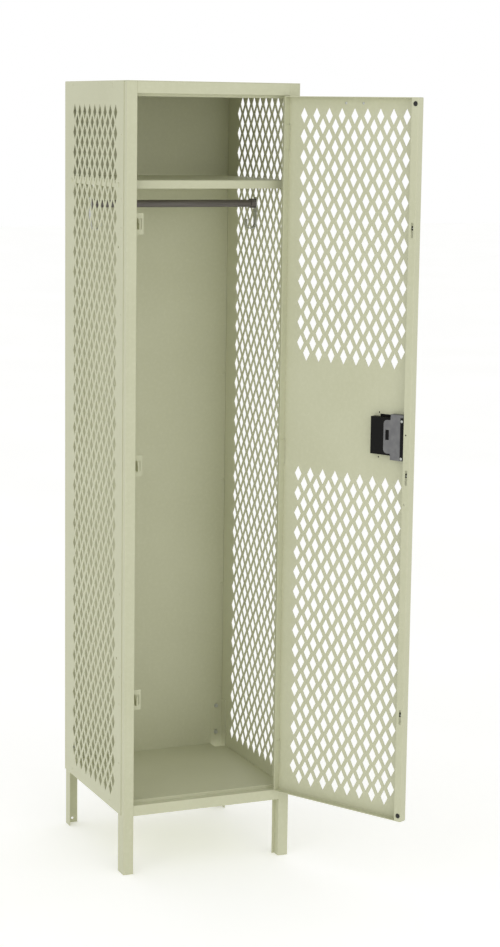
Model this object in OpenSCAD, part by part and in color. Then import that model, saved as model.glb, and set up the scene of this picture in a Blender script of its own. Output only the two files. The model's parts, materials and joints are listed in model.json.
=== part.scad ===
// Single-tier ventilated school locker: a riveted sheet-metal cabinet on four legs, with one
// inset door that is latched at three hooks by a lock bar and a recessed lift handle.
// Millimetres. The origin is on the floor, under the middle of the cabinet's footprint;
// the front faces -Y. The door hangs on the right jamb and is modelled standing open.

/* [Cabinet] */
// Width of the cabinet
body_w = 457.2; // [380:0.1:560]
// Depth of the cabinet
body_d = 457.2; // [380:0.1:560]
// Height of the cabinet above its legs
body_h = 1828.8; // [1520:0.1:2200]
// Height of the legs
leg_h = 152.4; // [100:0.1:200]
// Thickness of the cabinet's panels
panel_t = 1.5; // [1:0.1:2]

/* [Front frame] */
// Width of each front upright, side panel included
jamb_w = 28.3; // [26:0.1:36]
// Depth of an upright's flange along the side panel
jamb_d = 40; // [36:1:50]
// Depth of the frame's inner return
return_d = 25.4; // [24:0.1:32]
// Width of the strike lip behind the door
strike_w = 7; // [5:0.5:8]
// Height of the top rail
top_rail_h = 29.9; // [26:0.1:40]
// Height of the bottom rail
bottom_rail_h = 27.3; // [26:0.1:40]
// Thickness of the frame's sheet
frame_t = 1.6; // [1.2:0.1:2]

/* [Door] */
// Gap between the door and the frame, all round
door_gap = 1.6; // [1.2:0.1:2.5]
// Width of the return along the latch edge
latch_return_w = 20; // [18:0.5:24]
// Thickness of the door's sheet
door_t = 1.6; // [1.2:0.1:1.8]
// Angle at which the door stands open
door_angle = 118.3; // [100:0.1:130]
// Distance of the hinge axis in front of the frame's face
hinge_proud = 2; // [1.5:0.1:2.5]

/* [Perforations] */
// Width of one diamond in the door
diamond_w = 21.5; // [16:0.5:22]
// Width of one diamond in the side panels
side_diamond_w = 25; // [18:0.5:25.5]
// Height of one diamond
diamond_h = 40; // [30:0.5:42]
// Spacing of the diamonds along a row
column_pitch = 38.1; // [36:0.1:42]
// Spacing of the rows, which are staggered by half a column
row_pitch = 25.4; // [25:0.1:30]

/* [Inside] */
// Drop from the cabinet's top to the hat shelf's surface
shelf_drop = 238.8; // [200:0.1:300]
// Height of the hat shelf's front lip
shelf_lip = 20; // [16:1:26]
// Diameter of the coat rod
rod_dia = 19; // [14:0.5:22]
// Width of the rear legs' flanges
rear_leg_w = 32; // [28:1:38]
// Height to which the rear legs run up inside the cabinet
rear_leg_rise = 155; // [130:1:180]

/* [Latch] */
// Travel of the lift handle and the lock bar
lift_travel = 16; // [14:0.5:18]
// Drop from the cabinet's top to the top latch hook
top_hook_drop = 343; // [330:1:380]
// Rise from the cabinet's underside to the bottom latch hook
bottom_hook_rise = 295; // [280:1:330]
// Rise from the middle latch hook to the lock's middle
lock_rise = 95; // [90:1:110]
// Width of the handle pocket
pocket_w = 64; // [60:1:70]
// Height of the handle pocket
pocket_h = 92; // [88:1:96]
// Diameter of the hole for a padlock's shackle
padlock_hole_dia = 9.5; // [8:0.5:10]

/* [Hidden] */
$fn = 32;
paint = "#c5c7ac";
steel = "#9a9a96";
dark_steel = "#645f5c";
black = "#181614";
lock_grey = "#787878";
rubber = "#2a2a2a";

eps = 0.05;                                  // overrun of a cut past the face it opens
x_out = body_w / 2;
y_front = -body_d / 2;
y_back = body_d / 2;
z_body = leg_h;
z_top = leg_h + body_h;
x_in = x_out - panel_t;                      // inner face of a side panel
open_x = x_out - jamb_w;                     // edge of the door opening
open_z0 = z_body + bottom_rail_h;
open_z1 = z_top - top_rail_h;
strike_y = y_front + return_d;               // rear face of the strike lips

// Side, back and top panels
panel_front_gap = 18;                        // side panel's front edge, behind the frame's face
panel_flange = 13;                           // turned-in rear flange of a side panel
back_inner_y = y_back - 2 * panel_t;         // front face of the back panel
cap_flange = 18;                             // turned-down flanges of top, bottom and shelf
fit_gap = 0.3;                               // clearance between folded sheets
flange_gap = 4;                              // gap between a cap's flanges and the frame or the back
floor_gap = 2;                               // gap beside and behind the floor and the hat shelf
corner_gap = 1;                              // clearance of a corner cut-out
side_edge_x = 74;                            // least solid border at the sides of a side panel
side_edge_top = 76.2;
side_edge_bottom = 50;

// Rivets and bolts
rivet_dia = 4;
rivet_head_dia = 7;
rivet_head_h = 1.1;
rivet_play = 0.1;                            // diametral play of a rivet in its hole
bolt_dia = 6;
bolt_head_dia = 12;
bolt_head_h = 2.5;
nut_af = 10;
nut_h = 5;
bolt_gap = 0.6;                              // clearance between a bolt's head and a panel's flange
side_rivet_ends = [131, 284, 354, 566];      // side rivets from the body's top and from its underside
side_rivet_in = 34;                          // side rivets' distance behind the frame's face
back_rivets_n = 6;
back_rivet_end = 190;

// Hinges
hinge_x = open_x - door_gap / 2;
hinge_y = y_front - hinge_proud;
hinge_end = 131;                             // hinge middles from the body's ends
hinge_len = 60;
hinge_z = [z_body + hinge_end, z_body + body_h / 2, z_top - hinge_end];
knuckle_n = 5;
knuckle_gap = 0.3;
knuckle_r = 3.2;
pin_dia = 3.2;
pin_play = 0.1;                              // diametral play of a pin in its knuckles
pin_head_h = 1;
leaf_t = 1.5;
leaf_d = 20;
leaf_front = 0.6;                            // leaf's front edge behind the hinge's axis
notch_d = 5.5;                               // depth of the corner notches for the knuckles
notch_play = 0.4;
notch_half = hinge_len / 2 + pin_head_h + notch_play;

// Door, in its closed place
door_x0 = -open_x + door_gap;                // free edge
door_x1 = open_x - door_gap;                 // hinge edge
door_w = door_x1 - door_x0;
door_z0 = open_z0 + door_gap;
door_z1 = open_z1 - door_gap;
bumper_t = 2;                                // thickness of the bumpers behind the door
bumper_gap = 0.8;                            // clearance between the bumpers and the strike lips
door_d = return_d - frame_t - bumper_t - bumper_gap;
door_y1 = y_front + door_d;                  // rear face of the door
door_edge_x = 45;                            // least solid border beside the diamonds
door_edge_z = 46;                            // solid border above and below them

// Latch hooks and the lock bar that catches them
slot_inset = 10;                             // slot's middle from the door's free edge
hook_x = door_x0 + slot_inset;
hook_t = 2.4;
hook_plate_w = 27;
hook_plate_h = 52;
hook_window_h = 26;
hook_window_w = 10;
hook_tab_h = 26;
hook_reach = 16;                             // reach of the tab in front of its plate
hook_z = [z_body + bottom_hook_rise,
          (z_body + bottom_hook_rise + z_top - top_hook_drop) / 2,
          z_top - top_hook_drop];
slot_w = 6;
slot_h = 36;
keeper_dia = 4;
keeper_play = 0.5;                           // play of a keeper in its hook's notch
notch_depth = 11;                            // depth of a hook's notch below the tab's top
keeper_span = 8;                             // distance between the keeper's two ears
ear_t = 2;
ear_h = 10;
ear_rim = 1.2;                               // metal of an ear behind its keeper
keeper_in = 10;                              // keepers' middles in front of the strike lips' rear
keeper_y = strike_y - keeper_in;
keeper_tail = 1;                             // end of a keeper beyond its outer ear
bar_t = 3;
bar_w = 13;
bar_x0 = hook_x - bar_w / 2;
bar_end = 65;                                // bar's overrun past the outer hooks
guide_t = 1.5;
guide_play = 0.5;
bar_y = y_front + door_t + guide_play;
guide_h = 16;
guide_foot = 8;                              // foot of a guide on the door's sheet
guide_offset = 120;                          // guides' distance from the nearest hook

// Lock
lock_z = hook_z[1] + lock_rise;
pocket_in = 88.5;                              // pocket's middle from the door's free edge
pocket_x = door_x0 + pocket_in;
pocket_t = 1.2;
pocket_d = 17;                               // depth of the pocket behind the door's face
pocket_rim = 14;                             // flange of the pocket on the door's face
pocket_rim_t = 1;
handle_w = 50;
handle_below = 18;                           // handle's plate below its lip
handle_top_gap = 2.8;                        // clearance above the handle's plate, fully lifted
handle_above = pocket_h / 2 - pocket_t - lift_travel - handle_top_gap;
handle_t = 2.5;
handle_in = 12;                              // handle's plate behind the door's face
handle_y = y_front + handle_in;
lip_t = 3;
lip_reach = 22;
lip_z = lock_z;                              // underside of the handle's lip, at rest
arm_h = 22;
arm_y = bar_y + bar_t;                       // the arm lies on the bar's rear face
arm_slot_play = 2;
arm_play = 1;                                // gap in front of the arm, in its slot
arm_jog = 8;                                 // arm's bend, outside the pocket
staple_t = 3;
staple_proud = 12;                           // reach of the staple in front of the door
staple_slot_play = 1;
staple_gap = 0.5;                            // gap between the handle's lip and the staple's foot
staple_wall = 2.75;                          // metal above and below the padlock hole
staple_z0 = lip_z + lip_t + staple_gap;
staple_z = [staple_z0, staple_z0 + padlock_hole_dia + 2 * staple_wall];
cover_w = 37.5;
cover_h = 112;
cover_lobe_w = 20;
cover_lobe_h = 82;
cover_lobe_r = 10;
cover_t = 1.5;
cover_in = 3;                                // gap between the cover and the latch return
cover_x0 = door_x0 + latch_return_w + cover_in;
cover_foot = 9;                              // length of the cover's feet, under its plate
cover_rivet_in = 5.2;                        // rivets' middles from the cover's ends
cover_rivet_x = cover_x0 + 14;
cover_rivet_z = [lock_z - cover_h / 2 + cover_rivet_in, lock_z + cover_h / 2 - cover_rivet_in];
cover_slot = [[4, 15], [-8, 17]];            // slot in the lobe, across and along
cover_y = y_front + pocket_d + fit_gap;      // front face of the cover's plate
guard_x = [cover_x0 - 2.2, cover_x0 + 7.5];  // strip that closes the gap beside the cover
guard_z = [lock_z - 44, lock_z + 49];
guard_foot = 9.5;                              // narrow foot below the strip
guard_rivet_x = cover_x0 + 3.75;
guard_rivet_z = [lock_z - 50, lock_z + 41];
bumper_dia = 12;
bumper_tail = 1;                             // stem of a bumper, inside the return
bumper_in_x = 9;                             // bumpers' middles from the door's free edge
bumper_inset = 15;                           // bumpers' middles from the door's ends
bumper_x = door_x0 + bumper_in_x;
plate_w = 67;
plate_h = 25;
plate_t = 0.8;
plate_rivet_span = 51.5;
plate_drop = 15;
peep_dia = 10.5;                             // two round holes beside the latch return
peep_in = 29.4;                              // their middles from the door's free edge
peep_x = door_x0 + peep_in;
peep_off = [102, 66];                        // above the bottom hook and below the top one
peep_z = [hook_z[0] + peep_off[0], hook_z[2] - peep_off[1]];
screw_hole_dia = 4.2;
screw_hole_off = 17.5;                         // spare screw holes beside the pocket's middle
screw_hole_x = pocket_x + screw_hole_off;
screw_hole_z = 55;                           // distance of the spare screw holes from the lock's middle
pocket_tab_w = 41;
pocket_tab_h = 6;
pocket_tab_in = 4;
pocket_gap = 0.2;                            // clearance around the pocket in the door's sheet
return_hole_in = 14;                         // small holes in the latch return, from its edge
return_hole_off = [104, -66];                // their heights from the middle hook
field_above_lock = 180;                      // least distance of the diamonds from the lock's middle
field_below_lock = 118;

// Box between two corners
module block(x, y, z) {
    translate([x[0], y[0], z[0]])
        cube([x[1] - x[0], y[1] - y[0], z[1] - z[0]]);
}

// The same shape on the left and on the right of the cabinet
module on_side(side) {
    if (side == "left")
        children();
    else
        mirror([1, 0, 0])
            children();
}

// Turns a closed door's pieces to where the door stands open
module hung() {
    translate([hinge_x, hinge_y, 0])
        rotate([0, 0, door_angle])
            translate([-hinge_x, -hinge_y, 0])
                children();
}

// Rod along X, Y or Z that starts at its middle point p
module rod_x(p, d, len) {
    translate(p)
        rotate([0, 90, 0])
            cylinder(d = d, h = len);
}

module rod_y(p, d, len) {
    translate(p)
        rotate([-90, 0, 0])
            cylinder(d = d, h = len);
}

module rod_z(p, d, len) {
    translate(p)
        cylinder(d = d, h = len);
}

// Rivet along X, Y or Z through a stack of sheets that starts at p, with a head on both faces
module rivet(p, axis, grip) {
    turn = axis == "x" ? [0, 90, 0] : axis == "y" ? [-90, 0, 0] : [0, 0, 0];
    translate(p)
        rotate(turn) {
            cylinder(d = rivet_dia, h = grip);
            translate([0, 0, -rivet_head_h])
                cylinder(d = rivet_head_dia, h = rivet_head_h);
            translate([0, 0, grip])
                cylinder(d = rivet_head_dia, h = rivet_head_h);
        }
}

// Bolt along +X or -Y with its nut, through a stack of sheets that starts at p
module bolt(p, axis, grip) {
    turn = axis == "x" ? [0, 90, 0] : [90, 0, 0];
    translate(p)
        rotate(turn) {
            cylinder(d = bolt_dia, h = grip);
            translate([0, 0, -bolt_head_h])
                cylinder(d = bolt_head_dia, h = bolt_head_h);
            translate([0, 0, grip])
                cylinder(d = nut_af / cos(30), h = nut_h, $fn = 6);
        }
}

// Staggered field of diamonds centred on x = 0. Row 0 has its middles at y = 0, and the field
// starts at a given row, which may be one above it.
module diamond_field(columns, rows, width, first = 0) {
    for (row = [first : first + rows - 1])
        for (column = [0 : columns - 1 - abs(row % 2)])
            translate([(column + abs(row % 2) / 2 - (columns - 1) / 2) * column_pitch, -row * row_pitch])
                polygon([[width / 2, 0], [0, diamond_h / 2], [-width / 2, 0], [0, -diamond_h / 2]]);
}

function columns_in(width, edge) = floor((width - 2 * edge) / column_pitch) + 1;
function rows_in(height) = 2 * floor((height / row_pitch + 1) / 2);

// Places of fasteners that repeat
side_rivet_z = [for (d = side_rivet_ends) each [z_body + d, z_top - d]];
back_rivet_z = [for (i = [0 : back_rivets_n - 1])
    z_body + back_rivet_end + i * (body_h - 2 * back_rivet_end) / (back_rivets_n - 1)];
side_rivet_y = y_front + side_rivet_in;
back_rivet_x = x_out - panel_flange / 2 - 1;
shelf_z = z_top - shelf_drop;                // upper surface of the hat shelf
shelf_y0 = y_front + jamb_d + flange_gap;
shelf_bolt_in = 54;                          // shelf bolts' distance from the front and from the back
shelf_bolt_drop = 11;
shelf_bolt_y = [y_front + shelf_bolt_in, y_back - shelf_bolt_in];
shelf_bolt_z = shelf_z - shelf_bolt_drop;
cap_rivet_in = [100, 60];                    // cap rivets' distance from the front and from the back
cap_rivet_drop = [10, 12];                   // their distance below the top and below the floor
top_rivet_y = [y_front + cap_rivet_in[0], y_back - cap_rivet_in[1]];
top_rivet_z = z_top - cap_rivet_drop[0];
floor_rivet_z = open_z0 - cap_rivet_drop[1];
side_columns = columns_in(body_d, side_edge_x);
rod_row = 8 + side_columns % 2;              // row with metal at the panel's middle, for the bolt
rod_z_mid = z_top - side_edge_top - rod_row * row_pitch;
rod_y_mid = column_pitch;                    // a column behind the middle, between two diamonds
leg_slot_rise = [60, 135];                   // slots of a rear leg above the cabinet's underside
leg_slot = [6.8, 16];                        // width and height of one slot
leg_slot_z = [z_body + leg_slot_rise[0], z_body + leg_slot_rise[1]];
leg_hole_in = [12, 14];                      // round holes from the leg's foot and from the underside
leg_hole_z = [leg_hole_in[0], leg_h - leg_hole_in[1]];
leg_bolt_x = x_out - panel_flange - bolt_head_dia / 2 - bolt_gap;
anchor_drop = shelf_drop + 27.2;             // wall anchor holes just under the hat shelf
anchor_z = z_top - anchor_drop;
anchor_span = 300;
anchor_dia = 8.5;
gang_inset = 400;                            // holes to the next locker, from the body's ends
gang_in_y = 52;
gang_z = [z_body + gang_inset, z_top - gang_inset];
gang_dia = 7;

// ---- Front frame ----

// Section of the left upright, open to the rear
module upright_section() {
    x0 = -x_in;
    x1 = -open_x;
    translate([x0, y_front]) {
        square([frame_t, jamb_d]);
        square([x1 - x0, frame_t]);
    }
    translate([x1 - frame_t, y_front])
        square([frame_t, return_d]);
    translate([x1 - frame_t, strike_y - frame_t])
        square([frame_t + strike_w, frame_t]);
}

module side_rivet_holes() {
    for (z = side_rivet_z)
        rod_x([-x_out - eps, side_rivet_y, z], rivet_dia + rivet_play, panel_t + frame_t + 2 * eps);
}

module frame_upright_left() {
    color(paint)
        difference() {
            linear_extrude(z_top - panel_t)
                upright_section();
            side_rivet_holes();
        }
}

module frame_upright_right() {
    color(paint)
        difference() {
            linear_extrude(z_top - panel_t)
                mirror([1, 0])
                    upright_section();
            mirror([1, 0, 0])
                side_rivet_holes();
            for (z = hinge_z)
                block([hinge_x, hinge_x + knuckle_r + leaf_t + notch_play],
                    [y_front - eps, hinge_y + notch_d],
                    [z - notch_half, z + notch_half]);
        }
}

// The rails' flanges stop in front of the uprights' strike lips, and only pass between them
rail_x = [-open_x, open_x];
lip_x = [-open_x + strike_w, open_x - strike_w];
lip_y = [strike_y - frame_t, strike_y];

module frame_top_rail() {
    rail_top = z_top - panel_t;
    color(paint) {
        block(rail_x, [y_front, y_front + frame_t], [open_z1, rail_top]);
        block(rail_x, [y_front, lip_y[0]], [open_z1, open_z1 + frame_t]);
        block(rail_x, [y_front, lip_y[0]], [rail_top - frame_t, rail_top]);
        block(lip_x, [y_front, y_front + jamb_d], [rail_top - frame_t, rail_top]);
        block(lip_x, [lip_y[0] - frame_t, lip_y[1]], [open_z1, open_z1 + frame_t]);
        block(lip_x, lip_y, [open_z1 - strike_w, open_z1 + frame_t]);
    }
}

module frame_bottom_rail() {
    color(paint) {
        block(rail_x, [y_front, y_front + frame_t], [z_body, open_z0]);
        block(rail_x, [y_front, lip_y[0]], [open_z0 - frame_t, open_z0]);
        block(rail_x, [y_front, lip_y[0]], [z_body, z_body + frame_t]);
        block(lip_x, [lip_y[0] - frame_t, lip_y[1]], [open_z0 - frame_t, open_z0]);
        block(lip_x, lip_y, [open_z0 - frame_t, open_z0 + strike_w]);
    }
}

// ---- Panels ----

// Left side panel: a perforated sheet with a turned-in rear flange
// Both sides are one stamping. On the right it hangs upside down, so its field sits a row higher.
module side_panel(first) {
    width = body_d - panel_front_gap;
    rows = rows_in(body_h - side_edge_top - side_edge_bottom);
    translate([-x_out, 0, 0])
        rotate([90, 0, 90])
            linear_extrude(panel_t)
                difference() {
                    translate([y_front + panel_front_gap, z_body])
                        square([width, body_h]);
                    translate([0, z_top - side_edge_top])
                        diamond_field(side_columns, rows, side_diamond_w, first);
                    for (z = side_rivet_z)
                        translate([side_rivet_y, z])
                            circle(d = rivet_dia + rivet_play);
                    for (y = top_rivet_y, z = [top_rivet_z, floor_rivet_z])
                        translate([y, z])
                            circle(d = rivet_dia + rivet_play);
                    for (y = shelf_bolt_y)
                        translate([y, shelf_bolt_z])
                            circle(d = bolt_dia + rivet_play);
                    translate([rod_y_mid, rod_z_mid])
                        circle(d = bolt_dia + rivet_play);
                    for (z = gang_z)
                        translate([y_front + gang_in_y, z])
                            circle(d = gang_dia);
                }
    difference() {
        block([-x_out, -x_out + panel_flange], [y_back - panel_t, y_back], [z_body, z_top]);
        for (z = back_rivet_z)
            rod_y([-back_rivet_x, y_back - panel_t - eps, z], rivet_dia + rivet_play, panel_t + 2 * eps);
    }
}

module side_panel_left() {
    color(paint)
        side_panel(0);
}

module side_panel_right() {
    color(paint)
        on_side("right")
            side_panel(-1);
}

module back_panel() {
    half = x_in - fit_gap;
    color(paint)
        translate([0, back_inner_y + panel_t, 0])
            rotate([90, 0, 0])
                linear_extrude(panel_t)
                    difference() {
                        translate([-half, z_body])
                            square([2 * half, body_h - panel_t]);
                        for (side = [-1, 1]) {
                            for (z = back_rivet_z)
                                translate([side * back_rivet_x, z])
                                    circle(d = rivet_dia + rivet_play);
                            for (z = leg_slot_z)
                                translate([side * leg_bolt_x, z])
                                    circle(d = bolt_dia + rivet_play);
                            translate([side * anchor_span / 2, anchor_z])
                                circle(d = anchor_dia);
                        }
                    }
}

// Turned-down flanges along both sides of a flat cap, between two heights
module side_flanges(y, z) {
    for (side = [-1, 1])
        translate([side * (x_in - fit_gap - panel_t / 2), 0, 0])
            block([-panel_t / 2, panel_t / 2], y, z);
}

module top_panel() {
    color(paint)
        difference() {
            union() {
                block([-x_in, x_in], [y_front, y_back - panel_t], [z_top - panel_t, z_top]);
                side_flanges([y_front + jamb_d + flange_gap, back_inner_y - flange_gap],
                    [z_top - cap_flange, z_top - panel_t / 2]);
            }
            for (side = [-1, 1], y = top_rivet_y)
                rod_x([side * (x_in - fit_gap) - panel_t - eps, y, top_rivet_z],
                    rivet_dia + rivet_play, 2 * panel_t + 2 * eps);
        }
}

module bottom_panel() {
    y = [strike_y, back_inner_y - fit_gap];
    leg = rear_leg_w + corner_gap;
    side_y0 = y_front + jamb_d + floor_gap;
    front_x = x_in - frame_t - corner_gap;
    color(paint)
        difference() {
            union() {
                block([-x_in + fit_gap, x_in - fit_gap], [side_y0, y[1]], [open_z0 - panel_t, open_z0]);
                block([-front_x, front_x], [y[0], side_y0 + corner_gap], [open_z0 - panel_t, open_z0]);
                block([-front_x, front_x], [y[0], y[0] + panel_t], [open_z0 - cap_flange, open_z0]);
                side_flanges([y_front + jamb_d + flange_gap, y[1] - leg - floor_gap],
                    [open_z0 - cap_flange, open_z0 - panel_t / 2]);
            }
            for (side = [-1, 1])
                translate([side * (x_in - leg / 2), y[1] - leg / 2, open_z0])
                    cube([leg, leg, 3 * panel_t], center = true);
            for (side = [-1, 1], ry = top_rivet_y)
                rod_x([side * (x_in - fit_gap) - panel_t - eps, ry, floor_rivet_z],
                    rivet_dia + rivet_play, 2 * panel_t + 2 * eps);
        }
}

// Left rear leg: an angle that stands in the corner of the side and back panels
module rear_leg() {
    x0 = -x_in + fit_gap;
    y1 = back_inner_y;
    top = z_body + rear_leg_rise;
    difference() {
        union() {
            block([x0, x0 + frame_t], [y1 - rear_leg_w, y1], [0, top]);
            block([x0, x0 + rear_leg_w], [y1 - frame_t, y1], [0, top]);
        }
        for (z = leg_slot_z)
            block([-leg_bolt_x - leg_slot[0] / 2, -leg_bolt_x + leg_slot[0] / 2],
                [y1 - frame_t - eps, y1 + eps], [z - leg_slot[1] / 2, z + leg_slot[1] / 2]);
        for (z = leg_hole_z)
            rod_y([-leg_bolt_x, y1 - frame_t - eps, z], gang_dia, frame_t + 2 * eps);
    }
}

module rear_leg_left() {
    color(paint)
        rear_leg();
}

module rear_leg_right() {
    color(paint)
        on_side("right")
            rear_leg();
}

// ---- Hat shelf, coat rod and hooks ----

module hat_shelf() {
    y = [shelf_y0, back_inner_y - floor_gap];
    color(paint)
        difference() {
            union() {
                block([-x_in + fit_gap, x_in - fit_gap], y, [shelf_z - panel_t, shelf_z]);
                block([-x_in + fit_gap, x_in - fit_gap], [y[0], y[0] + panel_t],
                    [shelf_z - shelf_lip, shelf_z]);
                side_flanges([y[0] + panel_t / 2, y[1]], [shelf_z - cap_flange, shelf_z - panel_t / 2]);
            }
            for (side = [-1, 1], by = shelf_bolt_y)
                rod_x([side * (x_in - fit_gap) - panel_t - eps, by, shelf_bolt_z],
                    bolt_dia + rivet_play, 2 * panel_t + 2 * eps);
        }
}

strap_t = 2;
strap_w = 18;
strap_up = 16;                               // strap's end above the rod's middle
strap_down = 52;                             // start of the strap's curl below the rod's middle
curl_r = 14;                                 // outer radius of the curl
tip_rise = 12;                               // hook's tip above its curl
socket_depth = 12;
socket_wall = 2.5;
socket_base_t = 2;
rod_play = 0.1;
rod_wall = 1.2;
rod_end_gap = 0.5;                           // gap between the rod's end and the nut in its socket

// Hook on the left wall: a strap behind the rod's socket that curls inwards and up
module coat_hook() {
    x0 = -x_in;
    curl_x = x0 + curl_r;
    curl_z = rod_z_mid - strap_down;
    rotate([90, 0, 0])
        translate([0, 0, -rod_y_mid - strap_w / 2])
            linear_extrude(strap_w) {
                translate([x0, curl_z])
                    square([strap_t, strap_down + strap_up]);
                translate([curl_x, curl_z])
                    intersection() {
                        difference() {
                            circle(r = curl_r);
                            circle(r = curl_r - strap_t);
                        }
                        translate([-curl_r, -curl_r])
                            square([2 * curl_r, curl_r]);
                    }
                translate([curl_x + curl_r - strap_t, curl_z])
                    square([strap_t, tip_rise]);
            }
}

module drilled_coat_hook() {
    difference() {
        coat_hook();
        rod_x([-x_in - eps, rod_y_mid, rod_z_mid], bolt_dia + rivet_play, strap_t + 2 * eps);
    }
}

module coat_hook_left() {
    color(steel)
        drilled_coat_hook();
}

module coat_hook_right() {
    color(steel)
        on_side("right")
            drilled_coat_hook();
}

// Cup on the left wall that holds the rod's end
module rod_socket() {
    x0 = -x_in + strap_t;
    difference() {
        rod_x([x0, rod_y_mid, rod_z_mid], rod_dia + rod_play + 2 * socket_wall, socket_base_t + socket_depth);
        rod_x([x0 + socket_base_t, rod_y_mid, rod_z_mid], rod_dia + rod_play, socket_depth + eps);
        rod_x([x0 - eps, rod_y_mid, rod_z_mid], bolt_dia + rivet_play, socket_base_t + 2 * eps);
    }
}

module rod_socket_left() {
    color(dark_steel)
        rod_socket();
}

module rod_socket_right() {
    color(dark_steel)
        on_side("right")
            rod_socket();
}

// Tube that reaches close to the bases of both sockets
module coat_rod() {
    half = x_in - strap_t - socket_base_t - nut_h - rod_end_gap;
    color(dark_steel)
        difference() {
            rod_x([-half, rod_y_mid, rod_z_mid], rod_dia, 2 * half);
            rod_x([-half - eps, rod_y_mid, rod_z_mid], rod_dia - 2 * rod_wall, 2 * half + 2 * eps);
        }
}

module shelf_bolts() {
    color(steel)
        for (side = ["left", "right"])
            on_side(side) {
                for (y = shelf_bolt_y)
                    bolt([-x_out, y, shelf_bolt_z], "x", 2 * panel_t + fit_gap);
                bolt([-x_out, rod_y_mid, rod_z_mid], "x", panel_t + strap_t + socket_base_t);
            }
}

// ---- Fasteners of the cabinet ----

module side_rivets() {
    color(paint)
        for (side = ["left", "right"], z = side_rivet_z)
            on_side(side)
                rivet([-x_out, side_rivet_y, z], "x", panel_t + frame_t);
}

module back_rivets() {
    color(paint)
        for (side = [-1, 1], z = back_rivet_z)
            rivet([side * back_rivet_x, back_inner_y, z], "y", 2 * panel_t);
}

module top_rivets() {
    color(paint)
        for (side = ["left", "right"], y = top_rivet_y, z = [top_rivet_z, floor_rivet_z])
            on_side(side)
                rivet([-x_out, y, z], "x", 2 * panel_t + fit_gap);
}

module rear_leg_bolts() {
    color(steel)
        for (side = [-1, 1], z = leg_slot_z)
            bolt([side * leg_bolt_x, y_back - panel_t, z], "y", frame_t + panel_t);
}

// ---- Latch hooks on the left jamb ----

// Plate behind the strike lip, with a notched tab that reaches forward into the door
module latch_hook(z) {
    plate_x0 = -open_x;
    tab_y = [strike_y - hook_reach, strike_y + hook_t];
    catch_y = keeper_dia / 2 + keeper_play;
    color(paint)
        difference() {
            union() {
                difference() {
                    block([plate_x0, plate_x0 + hook_plate_w], [strike_y, strike_y + hook_t],
                        [z - hook_plate_h / 2, z + hook_plate_h / 2]);
                    block([hook_x + hook_t / 2, hook_x + hook_t / 2 + hook_window_w],
                        [strike_y - eps, strike_y + hook_t + eps],
                        [z - hook_window_h / 2, z + hook_window_h / 2]);
                }
                block([hook_x - hook_t / 2, hook_x + hook_t / 2], tab_y,
                    [z - hook_tab_h / 2, z + hook_tab_h / 2]);
            }
            block([hook_x - hook_t, hook_x + hook_t], [keeper_y - catch_y, keeper_y + catch_y],
                [z + hook_tab_h / 2 - notch_depth, z + hook_tab_h / 2 + eps]);
        }
}

module latch_hook_top() latch_hook(hook_z[2]);
module latch_hook_middle() latch_hook(hook_z[1]);
module latch_hook_bottom() latch_hook(hook_z[0]);

// ---- Hinges ----

// Leaf on the +X side of its knuckles, behind a sheet; the axis is at the origin
module hinge_leaf(first, sheet) {
    pitch = hinge_len / knuckle_n;
    leaf_x = door_gap / 2 + sheet;
    difference() {
        union() {
            block([leaf_x, leaf_x + leaf_t], [leaf_front, leaf_d], [-hinge_len / 2, hinge_len / 2]);
            rod_z([0, 0, -hinge_len / 2], 2 * knuckle_r, hinge_len);
        }
        for (i = [1 - first : 2 : knuckle_n - 1])
            translate([0, 0, -hinge_len / 2 + i * pitch - knuckle_gap / 2])
                cylinder(r = knuckle_r + notch_play, h = pitch + knuckle_gap);
        rod_z([0, 0, -hinge_len / 2 - eps], pin_dia + pin_play, hinge_len + 2 * eps);
    }
}

module hinge_frame_leaves() {
    color(paint)
        for (z = hinge_z)
            translate([hinge_x, hinge_y, z])
                hinge_leaf(0, frame_t);
}

module hinge_door_leaves() {
    color(paint)
        hung()
            for (z = hinge_z)
                translate([hinge_x, hinge_y, z])
                    mirror([1, 0, 0])
                        hinge_leaf(1, door_t);
}

module hinge_pins() {
    color(steel)
        for (z = hinge_z)
            translate([hinge_x, hinge_y, z - hinge_len / 2]) {
                cylinder(d = pin_dia, h = hinge_len);
                for (head_z = [-pin_head_h, hinge_len])
                    translate([0, 0, head_z])
                        cylinder(d = 2 * knuckle_r, h = pin_head_h);
            }
}

// ---- Door ----

door_columns = columns_in(door_w, door_edge_x);
field_x = (door_x0 + door_x1) / 2;
upper_rows = rows_in(door_z1 - door_edge_z - lock_z - field_above_lock);
lower_rows = rows_in(lock_z - field_below_lock - door_z0 - door_edge_z);
guide_z = [hook_z[0] + guide_offset, hook_z[1] - guide_offset, hook_z[2] - guide_offset];

// Front sheet, seen from the front, with its diamonds and cut-outs
module door_sheet() {
    difference() {
        translate([door_x0, door_z0])
            square([door_w, door_z1 - door_z0]);
        translate([field_x, door_z1 - door_edge_z])
            diamond_field(door_columns, upper_rows, diamond_w);
        translate([field_x, door_z0 + door_edge_z + (lower_rows - 1) * row_pitch])
            diamond_field(door_columns, lower_rows, diamond_w);
        translate([pocket_x - pocket_w / 2 - pocket_gap, lock_z - pocket_h / 2 - pocket_gap])
            square([pocket_w + 2 * pocket_gap, pocket_h + 2 * pocket_gap]);
        for (side = [-1, 1])
            translate([field_x + side * plate_rivet_span / 2, door_z1 - plate_drop])
                circle(d = rivet_dia + rivet_play);
        for (rz = cover_rivet_z)
            translate([cover_rivet_x, rz])
                circle(d = rivet_dia + rivet_play);
        for (side = [-1, 1])
            translate([screw_hole_x, lock_z + side * screw_hole_z])
                circle(d = screw_hole_dia);
        for (z = peep_z)
            translate([peep_x, z])
                circle(d = peep_dia);
    }
}

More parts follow.
